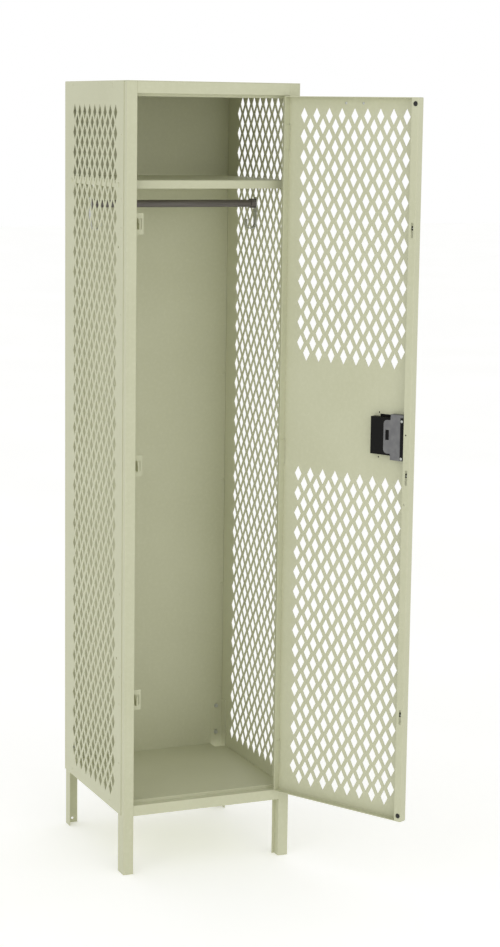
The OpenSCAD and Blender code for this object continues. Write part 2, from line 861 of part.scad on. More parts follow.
module door_panel() {
    rear_edge = [door_x0, door_x0 + latch_return_w];
    x = [door_x0, door_x1];
    y = [y_front, door_y1];
    color(paint)
        hung()
            difference() {
                union() {
                    translate([0, y_front + door_t, 0])
                        rotate([90, 0, 0])
                            linear_extrude(door_t)
                                door_sheet();
                    block(x, y, [door_z0, door_z0 + door_t]);
                    block(x, y, [door_z1 - door_t, door_z1]);
                    block([door_x1 - door_t, door_x1], y, [door_z0, door_z1]);
                    block([door_x0, door_x0 + door_t], y, [door_z0, door_z1]);
                    block(rear_edge, [door_y1 - door_t, door_y1], [door_z0, door_z1]);
                }
                for (z = hinge_z)
                    block([hinge_x - knuckle_r - leaf_t - notch_play, hinge_x],
                        [y_front - eps, hinge_y + notch_d],
                        [z - notch_half, z + notch_half]);
                for (z = hook_z)
                    block([hook_x - slot_w / 2, hook_x + slot_w / 2],
                        [door_y1 - door_t - eps, door_y1 + eps], [z - slot_h / 2, z + slot_h / 2]);
                for (z = [door_z0 + bumper_inset, door_z1 - bumper_inset])
                    rod_y([bumper_x, door_y1 - door_t - eps, z], rivet_dia, door_t + 2 * eps);
                for (off = return_hole_off)
                    rod_y([door_x0 + return_hole_in, door_y1 - door_t - eps, hook_z[1] + off],
                        screw_hole_dia, door_t + 2 * eps);
            }
}

// Cup set in the door, with a rim on the door's face and a slot for the handle's arm
module handle_pocket() {
    x = [pocket_x - pocket_w / 2, pocket_x + pocket_w / 2];
    z = [lock_z - pocket_h / 2, lock_z + pocket_h / 2];
    slot_z = [lock_z - arm_h / 2 - arm_slot_play, lock_z + arm_h / 2 + lift_travel + arm_slot_play];
    color(black)
        hung()
            difference() {
                union() {
                    block(x, [y_front - pocket_rim_t, y_front + pocket_d], z);
                    block([x[0] - pocket_rim, x[1] + pocket_rim], [y_front - pocket_rim_t, y_front],
                        [z[0] - pocket_rim, z[1] + pocket_rim]);
                    block([x[0] + pocket_tab_in, x[0] + pocket_tab_in + pocket_tab_w],
                        [y_front + door_t, y_front + door_t + pocket_t],
                        [z[0], z[1] + pocket_tab_h]);
                }
                block([x[0] + pocket_t, x[1] - pocket_t],
                    [y_front - pocket_rim_t - eps, y_front + pocket_d - pocket_t],
                    [z[0] + pocket_t, z[1] - pocket_t]);
                block([x[0] - eps, x[0] + pocket_t + eps],
                    [arm_y - arm_play, y_front + pocket_d - pocket_t], slot_z);
            }
}

// Eye for a padlock, fixed to the pocket's back; it stands through the handle's plate and lip
module padlock_staple() {
    back = y_front + pocket_d - pocket_t;
    hole_z = (staple_z[0] + staple_z[1]) / 2;
    color(lock_grey)
        hung()
            difference() {
                block([pocket_x - staple_t / 2, pocket_x + staple_t / 2],
                    [y_front - staple_proud, back], staple_z);
                rod_x([pocket_x - staple_t / 2 - eps, y_front - staple_proud / 2, hole_z],
                    padlock_hole_dia, staple_t + 2 * eps);
            }
}

// Cover plate over the lock, standing off the door on two bent feet
module lock_cover() {
    x = [cover_x0, cover_x0 + cover_w];
    z = [lock_z - cover_h / 2, lock_z + cover_h / 2];
    sheet = y_front + door_t;
    foot_y = [sheet, sheet + cover_t];
    color(lock_grey)
        hung()
            difference() {
                union() {
                    block(x, [cover_y, cover_y + cover_t], z);
                    translate([x[1] - eps, cover_y + cover_t, lock_z])
                        rotate([90, 0, 0])
                            linear_extrude(cover_t)
                                lobe();
                    block(x, [sheet, cover_y + cover_t], [z[0], z[0] + cover_t]);
                    block(x, [sheet, cover_y + cover_t], [z[1] - cover_t, z[1]]);
                    block(x, foot_y, [z[0], z[0] + cover_foot]);
                    block(x, foot_y, [z[1] - cover_foot, z[1]]);
                }
                for (rz = cover_rivet_z)
                    rod_y([cover_rivet_x, sheet - eps, rz], rivet_dia + rivet_play, cover_t + 2 * eps);
                guard_holes(cover_y, cover_t);
            }
}

// Holes through one sheet for the rivets of the guard
module guard_holes(y, sheet) {
    for (z = guard_rivet_z)
        rod_y([guard_rivet_x, y - eps, z], rivet_dia + rivet_play, sheet + 2 * eps);
}

// Black strip on the cover's edge, over the gap towards the latch return
module latch_guard() {
    y = [cover_y + cover_t, cover_y + 2 * cover_t];
    color(black)
        hung()
            difference() {
                union() {
                    block(guard_x, y, guard_z);
                    block([cover_x0, guard_x[1]], y, [guard_z[0] - guard_foot, guard_z[0] + eps]);
                }
                guard_holes(y[0], cover_t);
            }
}

// Lobe of the cover over the pocket: two rounded corners and a slot
module lobe() {
    half = cover_lobe_h / 2;
    difference() {
        union() {
            translate([0, -half])
                square([cover_lobe_w - cover_lobe_r, cover_lobe_h]);
            translate([0, cover_lobe_r - half])
                square([cover_lobe_w, cover_lobe_h - 2 * cover_lobe_r]);
            for (side = [-1, 1])
                translate([cover_lobe_w - cover_lobe_r, side * (half - cover_lobe_r)])
                    circle(r = cover_lobe_r);
        }
        translate([cover_slot[0][0], cover_slot[1][0]])
            square([cover_slot[0][1] - cover_slot[0][0], cover_slot[1][1] - cover_slot[1][0]]);
    }
}

module cover_rivets() {
    color(steel)
        hung()
            union() {
                for (rz = cover_rivet_z)
                    rivet([cover_rivet_x, y_front, rz], "y", door_t + cover_t);
                for (rz = guard_rivet_z)
                    rivet([guard_rivet_x, cover_y, rz], "y", 2 * cover_t);
            }
}

// Straps on the door's sheet that hold the lock bar
module lock_bar_guides() {
    x = [bar_x0 - guide_play, bar_x0 + bar_w + guide_play];
    rear = bar_y + bar_t + guide_play;
    sheet = y_front + door_t;
    color(steel)
        hung()
            for (z = guide_z)
                difference() {
                    block([door_x0 + door_t, x[1] + guide_t + guide_foot], [sheet, rear + guide_t],
                        [z - guide_h / 2, z + guide_h / 2]);
                    block(x, [sheet - eps, rear], [z - guide_h, z + guide_h]);
                    block([x[1] + guide_t, x[1] + 2 * guide_t + guide_foot],
                        [sheet + guide_t, rear + guide_t + eps], [z - guide_h, z + guide_h]);
                }
}

module bumpers() {
    color(rubber)
        hung()
            for (z = [door_z0 + bumper_inset, door_z1 - bumper_inset]) {
                rod_y([bumper_x, door_y1, z], bumper_dia, bumper_t);
                rod_y([bumper_x, door_y1 - door_t - bumper_tail, z], rivet_dia - rivet_play,
                    door_t + bumper_tail);
            }
}

module number_plate() {
    color(steel)
        hung()
            difference() {
                block([field_x - plate_w / 2, field_x + plate_w / 2], [y_front - plate_t, y_front],
                    [door_z1 - plate_drop - plate_h / 2, door_z1 - plate_drop + plate_h / 2]);
                for (side = [-1, 1])
                    rod_y([field_x + side * plate_rivet_span / 2, y_front - plate_t - eps,
                        door_z1 - plate_drop], rivet_dia + rivet_play, plate_t + 2 * eps);
            }
}

module number_plate_rivets() {
    color(steel)
        hung()
            for (side = [-1, 1])
                rivet([field_x + side * plate_rivet_span / 2, y_front - plate_t, door_z1 - plate_drop],
                    "y", plate_t + door_t);
}

// ---- Lift handle and lock bar ----

// Plate in the pocket, with a finger lip and an arm that lies on the lock bar
module lift_handle() {
    x = [pocket_x - handle_w / 2, pocket_x + handle_w / 2];
    z = [lip_z - handle_below, lip_z + handle_above];
    slot_x = staple_t / 2 + staple_slot_play;
    jog_x = pocket_x - pocket_w / 2 - arm_jog;
    arm_z = [lock_z - arm_h / 2, lock_z + arm_h / 2];
    color(black)
        hung()
            difference() {
                union() {
                    block(x, [handle_y, handle_y + handle_t], z);
                    block(x, [handle_y - lip_reach, handle_y], [lip_z, lip_z + lip_t]);
                    block([jog_x, x[0] + arm_play], [handle_y, handle_y + handle_t], arm_z);
                    block([jog_x, jog_x + handle_t], [arm_y, handle_y + handle_t], arm_z);
                    block([bar_x0, jog_x + handle_t], [arm_y, arm_y + handle_t], arm_z);
                }
                block([pocket_x - slot_x, pocket_x + slot_x],
                    [handle_y - lip_reach - eps, handle_y + handle_t + eps],
                    [staple_z[0] - lift_travel - staple_slot_play, staple_z[1] + staple_slot_play]);
            }
}

module lock_bar() {
    z = [hook_z[0] - bar_end, hook_z[2] + bar_end];
    ear_x = [hook_x - keeper_span / 2 - ear_t, hook_x + keeper_span / 2];
    color(dark_steel)
        hung()
            difference() {
                union() {
                    block([bar_x0, bar_x0 + bar_w], [bar_y, bar_y + bar_t], z);
                    for (hz = hook_z)
                        for (ex = ear_x)
                            block([ex, ex + ear_t], [bar_y, keeper_y + keeper_dia / 2 + ear_rim],
                                [keeper_z(hz) - ear_h / 2, keeper_z(hz) + ear_h / 2]);
                }
                for (hz = hook_z)
                    rod_x([ear_x[0] - eps, keeper_y, keeper_z(hz)], keeper_dia + rivet_play,
                        keeper_span + 2 * ear_t + 2 * eps);
            }
}

// A keeper rests just above the floor of its hook's notch
function keeper_z(hz) = hz + hook_tab_h / 2 - notch_depth + keeper_dia / 2 + keeper_play;

module keeper_pins() {
    color(steel)
        hung()
            for (hz = hook_z)
                translate([hook_x - keeper_span / 2 - ear_t, keeper_y, keeper_z(hz)])
                    rotate([0, 90, 0])
                        cylinder(d = keeper_dia, h = keeper_span + 2 * ear_t + keeper_tail);
}

frame_upright_left();
frame_upright_right();
frame_top_rail();
frame_bottom_rail();
side_panel_left();
side_panel_right();
back_panel();
top_panel();
bottom_panel();
rear_leg_left();
rear_leg_right();
hat_shelf();
coat_rod();
rod_socket_left();
rod_socket_right();
coat_hook_left();
coat_hook_right();
latch_hook_top();
latch_hook_middle();
latch_hook_bottom();
hinge_frame_leaves();
hinge_pins();
side_rivets();
back_rivets();
top_rivets();
shelf_bolts();
rear_leg_bolts();
door_panel();
hinge_door_leaves();
handle_pocket();
padlock_staple();
lock_cover();
latch_guard();
cover_rivets();
lock_bar_guides();
bumpers();
number_plate();
number_plate_rivets();
lift_handle();
lock_bar();
keeper_pins();
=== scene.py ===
# %% [markdown]
# # A ventilated school locker in sheet steel
# The locker's sizes, its places and its joints come from a finished CAD frame. This lesson dresses
# that frame: each folded sheet gets the round bends that a press brake leaves, each fastener gets a
# real head, and every surface gets the finish that its maker gave it. Nothing here moves the frame.

import json
import math

import bmesh
import bpy
from mathutils import Matrix, Vector

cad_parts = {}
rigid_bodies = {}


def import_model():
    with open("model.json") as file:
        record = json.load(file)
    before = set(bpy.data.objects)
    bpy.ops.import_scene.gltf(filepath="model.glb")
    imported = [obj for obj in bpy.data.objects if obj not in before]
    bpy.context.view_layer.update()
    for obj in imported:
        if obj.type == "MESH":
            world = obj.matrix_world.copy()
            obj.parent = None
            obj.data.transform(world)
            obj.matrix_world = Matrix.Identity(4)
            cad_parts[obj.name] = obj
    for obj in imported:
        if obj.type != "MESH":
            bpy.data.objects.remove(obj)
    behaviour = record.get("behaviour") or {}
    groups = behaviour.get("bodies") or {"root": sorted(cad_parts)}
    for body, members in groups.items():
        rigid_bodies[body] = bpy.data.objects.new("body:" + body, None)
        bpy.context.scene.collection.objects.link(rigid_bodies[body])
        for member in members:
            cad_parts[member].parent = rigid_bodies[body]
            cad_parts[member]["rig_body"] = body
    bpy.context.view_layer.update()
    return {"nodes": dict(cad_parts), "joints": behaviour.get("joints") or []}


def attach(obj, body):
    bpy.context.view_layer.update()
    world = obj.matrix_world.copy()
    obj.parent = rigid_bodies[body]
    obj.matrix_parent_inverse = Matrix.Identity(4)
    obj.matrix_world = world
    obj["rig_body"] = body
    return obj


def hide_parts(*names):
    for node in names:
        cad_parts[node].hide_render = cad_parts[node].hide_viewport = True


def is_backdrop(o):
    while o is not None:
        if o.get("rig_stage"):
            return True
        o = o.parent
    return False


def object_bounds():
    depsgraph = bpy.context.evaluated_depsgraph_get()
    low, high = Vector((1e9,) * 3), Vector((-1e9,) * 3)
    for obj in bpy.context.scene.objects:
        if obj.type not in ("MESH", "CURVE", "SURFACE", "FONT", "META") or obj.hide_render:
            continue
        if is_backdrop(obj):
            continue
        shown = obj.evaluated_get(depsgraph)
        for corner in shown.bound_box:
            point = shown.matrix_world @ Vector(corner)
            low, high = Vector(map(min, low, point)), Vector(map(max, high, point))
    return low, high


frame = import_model()
MM = 0.001

# %% [markdown]
# ## Finishes are small networks of nodes
# One function adds a node with its settings and its links and hands back the output that is wanted.
# Another turns the hex colours of a paint chart, which are sRGB, to the linear values that light
# needs.


# %% Helpers for node networks
def put(tree, kind, inputs=None, out=None, **settings):
    """Adds one node. An input is given a value, or the output of another node."""
    node = tree.nodes.new(kind)
    for name, value in settings.items():
        setattr(node, name, value)
    for key, value in (inputs or {}).items():
        if isinstance(value, bpy.types.NodeSocket):
            tree.links.new(value, node.inputs[key])
        else:
            node.inputs[key].default_value = value
    return node if out is None else node.outputs[out]


def linear(chart):
    """An sRGB hex colour as linear red, green, blue and alpha."""
    parts = [int(chart[i : i + 2], 16) / 255 for i in (1, 3, 5)]
    return (*[((c + 0.055) / 1.055) ** 2.4 if c > 0.04045 else c / 12.92 for c in parts], 1.0)


print("a mid grey of #808080 is", round(linear("#808080")[0], 3), "in linear light")

# %% [markdown]
# ## Grain, edge wear, painted edge highlights and coats
# No real finish is even. A grain is a cloudy pattern with lumps of a real size; it can be stretched
# into streaks. An edge mask compares the true normal with one that is bent round the corner, so it
# finds the corners without any painting; it lays worn paint on some finishes and a painted
# highlight along the enamel's edges. Coats of colour then lie over each other, each as strong as
# its pattern says.


# %% Helpers for finishes
def new_finish(name):
    """An empty material, its tree of nodes, and the piece's own coordinates."""
    material = bpy.data.materials.new(name)
    material.use_nodes = True
    tree = material.node_tree
    tree.nodes.clear()
    return material, tree, put(tree, "ShaderNodeTexCoord", out="Object")


def grain(tree, place, size_mm, detail=2.0, stretch=(1, 1, 1)):
    """A pattern with lumps about size_mm across, longer along an axis whose stretch is above 1."""
    squeeze = {"Vector": place, "Scale": [1 / s for s in stretch]}
    flow = put(tree, "ShaderNodeMapping", squeeze, out="Vector")
    lumps = {"Vector": flow, "Scale": 1 / (size_mm * MM), "Detail": detail}
    return put(tree, "ShaderNodeTexNoise", lumps, out="Fac")


def edge_wear_and_highlight(tree, radius_mm, strength):
    """0 on flat metal, and up to strength at a sharp edge; it marks worn edges, and on the enamel a
    painted highlight.
    """
    bent = put(tree, "ShaderNodeBevel", {"Radius": radius_mm * MM}, out="Normal", samples=4)
    true = put(tree, "ShaderNodeNewGeometry", out="Normal")
    pair = {0: bent, 1: true}
    same = put(tree, "ShaderNodeVectorMath", pair, out="Value", operation="DOT_PRODUCT")
    wear = {"Value": same, "From Min": 0.8, "From Max": 0.99, "To Min": strength, "To Max": 0.0}
    return put(tree, "ShaderNodeMapRange", wear, out="Result")


def coats(tree, base, *layers):
    """A base colour with layers over it; each layer has its strength and its colour."""
    colour = linear(base)
    for strength, paint in layers:
        # Sockets 0, 6 and 7 of a colour mix are its factor and its two colours; output 2 is the mix
        mix = {0: strength, 6: colour, 7: linear(paint)}
        colour = put(tree, "ShaderNodeMix", mix, out=2, data_type="RGBA")
    return colour


def shade(tree, **inputs):
    """Ends a finish with one Principled shader; an input's name has _ for each space."""
    named = {name.replace("_", " "): value for name, value in inputs.items()}
    surface = put(tree, "ShaderNodeBsdfPrincipled", named, out="BSDF")
    put(tree, "ShaderNodeOutputMaterial", {"Surface": surface})


MIDDLE = {"From Min": 0.3, "From Max": 0.7}  # most of a grain's values lie between these
print("helpers ready; a grain is read from", MIDDLE["From Min"], "to", MIDDLE["From Max"])

# %% [markdown]
# ## Baked enamel in putty
# School lockers are dipped, phosphated and sprayed with a polyester enamel, then baked at about
# 180 degrees. The eye gets a warm grey-green with a satin shine, a very fine orange peel, broad
# patches where the film is a little thicker, and a paler line on cut edges, a painted highlight
# where the film also runs thin. Enamel is a dielectric, so it isn't metallic; its index of
# refraction is about 1.5.

# %% Enamel
# The thin colour is used for thin spots in the film and also for the painted highlight along the
# edges
PUTTY, PUTTY_THICK, PUTTY_THIN_AND_HIGHLIGHT = "#C8C9AC", "#C3C4A6", "#D6D6BE"
PATCH_MM, SPECK_MM = 260, 9.0
PEEL_MM = 2.2  # real orange peel is about 1 mm across; this is coarser, so that it shows
PEEL_DEPTH_MM = 0.03

enamel, tree, place = new_finish("baked_enamel_putty")
patches = grain(tree, place, PATCH_MM, detail=3.0)
speck = grain(tree, place, SPECK_MM, detail=4.0)
peel = grain(tree, place, PEEL_MM, detail=1.0)
thick = put(tree, "ShaderNodeMapRange", {"Value": patches, **MIDDLE}, out="Result")
thin_spots = {"Value": speck, "From Min": 0.45, "From Max": 0.75, "To Max": 0.22}
thin = put(tree, "ShaderNodeMapRange", thin_spots, out="Result")
# A paler line along the sharp edges: a painted highlight, where the enamel also runs thin
edges = edge_wear_and_highlight(tree, radius_mm=0.9, strength=0.55)
satin = {"Value": speck, **MIDDLE, "To Min": 0.42, "To Max": 0.54}
relief = {"Height": peel, "Strength": 1.0, "Distance": PEEL_DEPTH_MM * MM}
shade(
    tree,
    Base_Color=coats(tree, PUTTY, (thick, PUTTY_THICK), (thin, PUTTY_THIN_AND_HIGHLIGHT), (edges, PUTTY_THIN_AND_HIGHLIGHT)),
    Roughness=put(tree, "ShaderNodeMapRange", satin, out="Result"),
    Normal=put(tree, "ShaderNodeBump", relief, out="Normal"),
    IOR=1.5,
    Specular_IOR_Level=0.35,
)
print(enamel.name, "nodes", len(tree.nodes))

# %% [markdown]
# ## Finishes with one grain
# In plated, rolled, brushed and moulded surfaces one pattern does all the work: where the grain
# is high, the colour, the shine and the height change together. So one function makes them all,
# and each finish is only a list of colours, real sizes and typical roughness.


# %% A finish with one grain
def grained(
    name, colours, grain_mm, detail, rough, bump_mm, stretch=(1, 1, 1), worn=None, **surface
):
    """One grain shifts colour, shine and height; worn is an edge's radius, strength and colour."""
    material, tree, place = new_finish(name)
    lumps = grain(tree, place, grain_mm, detail, stretch)
    base, *tints = colours
    layers = []
    for tint in tints:
        shift = put(tree, "ShaderNodeMapRange", {"Value": lumps, **MIDDLE}, out="Result")
        layers.append((shift, tint))
    if worn:
        radius_mm, strength, bare = worn
        layers.append((edge_wear_and_highlight(tree, radius_mm, strength), bare))
    shine = {"Value": lumps, **MIDDLE, "To Min": rough[0], "To Max": rough[1]}
    relief = {"Height": lumps, "Strength": 1.0, "Distance": bump_mm * MM}
    shade(
        tree,
        Base_Color=coats(tree, base, *layers),
        Roughness=put(tree, "ShaderNodeMapRange", shine, out="Result"),
        Normal=put(tree, "ShaderNodeBump", relief, out="Normal"),
        **surface,
    )
    print(name, "nodes", len(tree.nodes))
    return material


# %% [markdown]
# ## Zinc, oiled steel and rolled bar
# The fasteners are zinc plated: the eye gets a bright, slightly blue grey with soft spangles, and a
# clear film dulls it, so it isn't fully metallic. The rod and its sockets are cold-rolled steel
# that was only oiled: brown-grey and streaked along the rod, with the metal half hidden by the oil.
# The lock bar is the same steel rubbed bright by use, and streaked along its height.

# %% Zinc and steel
zinc = grained(
    "zinc_plated_steel",
    colours=("#CDCFCB", "#B4B7B3"),
    grain_mm=4.0,
    detail=3.0,
    rough=(0.3, 0.46),
    bump_mm=0.02,
    Metallic=0.7,
)
oiled = grained(
    "oiled_dark_steel",
    colours=("#716C69", "#645F5C"),
    grain_mm=3.0,
    detail=4.0,
    rough=(0.42, 0.6),
    bump_mm=0.02,
    stretch=(30, 1, 1),
    Metallic=0.25,
)
bar_steel = grained(
    "rolled_steel_bar",
    colours=("#7C7A77", "#666460"),
    grain_mm=2.5,
    detail=4.0,
    rough=(0.36, 0.55),
    bump_mm=0.02,
    stretch=(1, 1, 40),
    Metallic=0.9,
)

# %% [markdown]
# ## Brushed aluminium
# The number plate is a blank of aluminium that was drawn level under a wire brush: the eye gets a
# pale metal whose shine is soft across the lines and long beside them.

# %% Aluminium
BRUSH_MM = 0.6  # real brush lines are 0.1 mm apart; these are coarser, so that they show
aluminium = grained(
    "brushed_aluminium",
    colours=("#D2D3D3", "#B8BABB"),
    grain_mm=BRUSH_MM,
    detail=3.0,
    rough=(0.26, 0.42),
    bump_mm=0.01,
    stretch=(25, 25, 1),
    Metallic=1.0,
)

# %% [markdown]
# ## Black enamel and rubber
# The handle's pocket is sprayed black: it hardly shines, and it rubs brown on its edges. The
# bumpers are moulded rubber, nearly black, with a pale bloom and no shine to speak of.

# %% Black enamel and rubber
black = grained(
    "black_enamel",
    colours=("#0E0D0D",),
    grain_mm=1.6,
    detail=2.0,
    rough=(0.38, 0.55),
    bump_mm=0.03,
    worn=(0.5, 0.5, "#35322F"),
    IOR=1.5,
    Specular_IOR_Level=0.15,
)
rubber = grained(
    "moulded_rubber",
    colours=("#1A1A19", "#262625"),
    grain_mm=2.0,
    detail=3.0,
    rough=(0.7, 0.85),
    bump_mm=0.02,
    IOR=1.52,
)

# %% [markdown]
# ## Grey primer
# The lock's cover is left in its matt grey primer. Its clouds are far broader than the fine dust
# that one feels on it, so it has two grains, and its rubbed edges are paler.

# %% Grey primer
CLOUD_MM, DUST_MM, DUST_DEPTH_MM = 14.0, 1.2, 0.02
grey, tree, place = new_finish("grey_primer")
cloud = grain(tree, place, CLOUD_MM, detail=4.0)
dust = grain(tree, place, DUST_MM)
cloudy = put(tree, "ShaderNodeMapRange", {"Value": cloud, **MIDDLE}, out="Result")
edges = edge_wear_and_highlight(tree, radius_mm=0.5, strength=0.6)
matt = {"Value": cloud, **MIDDLE, "To Min": 0.5, "To Max": 0.64}
relief = {"Height": dust, "Strength": 1.0, "Distance": DUST_DEPTH_MM * MM}
shade(
    tree,
    Base_Color=coats(tree, "#757575", (cloudy, "#68686A"), (edges, "#9A9A99")),
    Roughness=put(tree, "ShaderNodeMapRange", matt, out="Result"),
    Normal=put(tree, "ShaderNodeBump", relief, out="Normal"),
    IOR=1.5,
)
print(grey.name, "nodes", len(tree.nodes))

# %% [markdown]
# ## Folded sheet
# Nearly every piece is a flat blank that a press brake folds. The CAD frame has square corners, so
# each piece is copied, its triangles are joined to clean flat faces, and its corners are rounded:
# a fold has a large radius outside and a small one inside, and a cut edge is only just eased. The
# punched sheets keep their triangles, because one face can't hold hundreds of holes.

# %% Copy a CAD piece
PUNCHED = ("door_panel", "side_panel_left", "side_panel_right")
FACET = math.radians(35)  # the facets of a round surface meet at less than this
CORNER = math.radians(50)  # corners meet at more than this
WELD = 0.001 * MM


def clean_shell(node):
    """A copy of a CAD node, with doubles merged and flat faces joined; curved faces are smooth."""
    shell = bmesh.new()
    shell.from_mesh(frame["nodes"][node].data)
    bmesh.ops.remove_doubles(shell, verts=shell.verts, dist=WELD)
    if node not in PUNCHED:
        flat = math.radians(0.5)
        bmesh.ops.dissolve_limit(shell, angle_limit=flat, verts=shell.verts, edges=shell.edges)
    for face in shell.faces:
        bends = [e for e in face.edges if len(e.link_faces) == 2]
        gentle = [e for e in bends if math.radians(1) < e.calc_face_angle(0) < FACET]
        face.smooth = len(gentle) > 1
    return shell


print("a corner is sharper than", round(math.degrees(CORNER)), "degrees")


# %% Round its folds and ease its edges
def reach(face, edge):
    """How far a face goes from one of its edges."""
    a, b = (v.co for v in edge.verts)
    along = (b - a).normalized()
    return max((v.co - a - along * (v.co - a).dot(along)).length for v in face.verts)


def sharp(edge):
    """Whether an edge is a corner of the piece."""
    return len(edge.link_faces) == 2 and edge.calc_face_angle(0) > CORNER


def round_off(shell, edges, radius, steps):
    """Rounds some edges, and marks the new faces as smooth."""
    if not edges:
        return
    made = bmesh.ops.bevel(
        shell,
        geom=edges,
        offset=radius,
        offset_type="OFFSET",
        segments=steps,
        profile=0.5,
        affect="EDGES",
        material=-1,
        clamp_overlap=True,
    )
    for face in made["faces"]:
        face.smooth = True


def fold(shell, sheet, outside, inside):
    """Rounds the folds: edges between two faces that both reach well past the sheet's thickness."""
    wide = 2.2 * sheet
    long = [e for e in shell.edges if sharp(e) and e.calc_length() > wide]
    folds = [e for e in long if all(reach(f, e) > wide for f in e.link_faces)]
    hollow = [e for e in folds if not e.is_convex]
    round_off(shell, [e for e in folds if e.is_convex], outside, 4)
    round_off(shell, [e for e in hollow if e.is_valid], inside, 2)
    return len(folds)


def ease(shell, radius, least):
    """Just breaks the edges that are still sharp and no shorter than least."""
    edges = [e for e in shell.edges if sharp(e) and e.calc_length() >= least]
    round_off(shell, edges, radius, 1)


# %% Finish a piece
body_of = {node: piece["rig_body"] for node, piece in frame["nodes"].items()}


def finish_piece(shell, node, suffix, material):
    """Makes the shell an object that rides on its node's body, stands for it and has a finish."""
    mesh = bpy.data.meshes.new(f"{node}_{suffix}")
    for edge in shell.edges:
        edge.smooth = not (len(edge.link_faces) == 2 and edge.calc_face_angle(0) > FACET)
    shell.to_mesh(mesh)
    shell.free()
    mesh.materials.append(material)
    piece = bpy.data.objects.new(mesh.name, mesh)
    bpy.context.scene.collection.objects.link(piece)
    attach(piece, body_of[node])
    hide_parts(node)


def dress(node, gauge, edge, least, material, suffix):
    """Folds, eases and finishes one node. The gauge is its sheet and its two bend radii, in mm."""
    sheet, outside, inside = [size * MM for size in gauge]
    shell = clean_shell(node)
    folds = fold(shell, sheet, outside, inside)
    ease(shell, edge * MM, least * MM)
    print(node, "folds", folds, "faces", len(shell.faces))
    finish_piece(shell, node, suffix, material)


print("nodes on the door", sum(body == "door" for body in body_of.values()))

# %% [markdown]
# ## The painted sheets
# The 16-gauge frame has bends of about 2.4 mm outside, and the thinner panels about 2 mm. The
# panels have thousands of punched edges, so only their long edges are eased.

# %% Fold and paint the sheets
# Each gauge is a sheet's thickness and its outer and inner bend radii, in millimetres
RAIL, PANEL, PAN = (1.6, 2.4, 0.8), (1.5, 2.2, 0.7), (1.6, 2.2, 0.6)
HOOK, LEAF = (2.4, 0.8, 0.4), (1.5, 0.5, 0.3)
SHEETS = {  # gauge, eased edge, and the least length that is eased, in millimetres
    "frame_upright_left": (RAIL, 0.25, 20),
    "frame_upright_right": (RAIL, 0.25, 20),
    "frame_top_rail": (RAIL, 0.25, 0),
    "frame_bottom_rail": (RAIL, 0.25, 0),
    "side_panel_left": (PANEL, 0.3, 60),
    "side_panel_right": (PANEL, 0.3, 60),
    "back_panel": (PANEL, 0.3, 60),
    "top_panel": (PANEL, 0.3, 60),
    "bottom_panel": (PANEL, 0.3, 60),
    "rear_leg_left": (RAIL, 0.3, 1),
    "rear_leg_right": (RAIL, 0.3, 1),
    "hat_shelf": (PANEL, 0.3, 10),
    "latch_hook_top": (HOOK, 0.4, 0),
    "latch_hook_middle": (HOOK, 0.4, 0),
    "latch_hook_bottom": (HOOK, 0.4, 0),
    "hinge_frame_leaves": (LEAF, 0.25, 1),
    "hinge_door_leaves": (LEAF, 0.25, 1),
    "door_panel": (PAN, 0.3, 60),
}
for node, (gauge, edge, least) in SHEETS.items():
    dress(node, gauge, edge, least, enamel, "folded")

# %% [markdown]
# ## Rod, hooks, lock and bar
# The same two steps suit the small pieces; only the radii and the finishes change. The pocket is
# drawn from one blank, so its corners are rounder than those of a folded strap.

# %% Small pieces
SMALL = {  # gauge and eased edge in millimetres, finish, record slot
    "coat_rod": ((1.2, 0.3, 0.2), 0.2, oiled, "dark_steel"),
    "rod_socket_left": ((2.5, 0.8, 0.4), 0.5, oiled, "dark_steel"),
    "rod_socket_right": ((2.5, 0.8, 0.4), 0.5, oiled, "dark_steel"),
    "coat_hook_left": ((2.0, 0.6, 0.4), 0.4, zinc, "zinc_steel"),
    "coat_hook_right": ((2.0, 0.6, 0.4), 0.4, zinc, "zinc_steel"),
    "hinge_pins": ((3.0, 0.4, 0.3), 0.3, zinc, "zinc_steel"),
    "handle_pocket": ((1.2, 1.8, 0.6), 0.25, black, "black_enamel"),
    "padlock_staple": ((3.0, 0.8, 0.4), 0.5, grey, "grey_steel"),
    "lock_cover": ((1.5, 1.6, 0.5), 0.3, grey, "grey_steel"),
    # The latch guard is a black strip set in the dark band between the lock cover and the latch
    # return
    "latch_guard": ((1.5, 0.4, 0.3), 0.3, black, "black_enamel"),
    "lock_bar_guides": ((1.5, 1.2, 0.4), 0.3, zinc, "zinc_steel"),
    "lift_handle": ((2.5, 1.2, 0.6), 0.5, black, "black_enamel"),
    "lock_bar": ((3.0, 0.6, 0.4), 0.4, bar_steel, "dark_steel"),
    "keeper_pins": ((4.0, 0.4, 0.3), 0.4, zinc, "zinc_steel"),
    "number_plate": ((0.8, 0.2, 0.2), 0.15, aluminium, "aluminium"),
}
for node, (gauge, edge, material, slot) in SMALL.items():
    dress(node, gauge, edge, 0, material, "finished")

# %% [markdown]
# ## Rivets, bolts and bumpers
# A pop rivet has a low dome, a carriage bolt a higher one, and its nut is a chamfered hexagon. Each
# is turned about an axis like work on a lathe: a half profile is spun once round. The places and
# the directions come from the CAD solids, one solid for each fastener.


# %% Turned shapes
def turned(profile, steps=20):
    """Spins a half profile of (radius, height) points about Z and closes its poles."""
    work = bmesh.new()
    row = [work.verts.new((r, 0, h)) for r, h in profile]
    edges = [work.edges.new(pair) for pair in zip(row, row[1:])]
    bmesh.ops.spin(
        work,
        geom=row + edges,
        cent=(0, 0, 0),
        axis=(0, 0, 1),
        angle=math.tau,
        steps=steps,
        use_merge=True,
        use_duplicate=False,
    )
    bmesh.ops.remove_doubles(work, verts=work.verts, dist=2 * WELD)
    bmesh.ops.recalc_face_normals(work, faces=work.faces)
    for face in work.faces:
        face.smooth = True
    return work


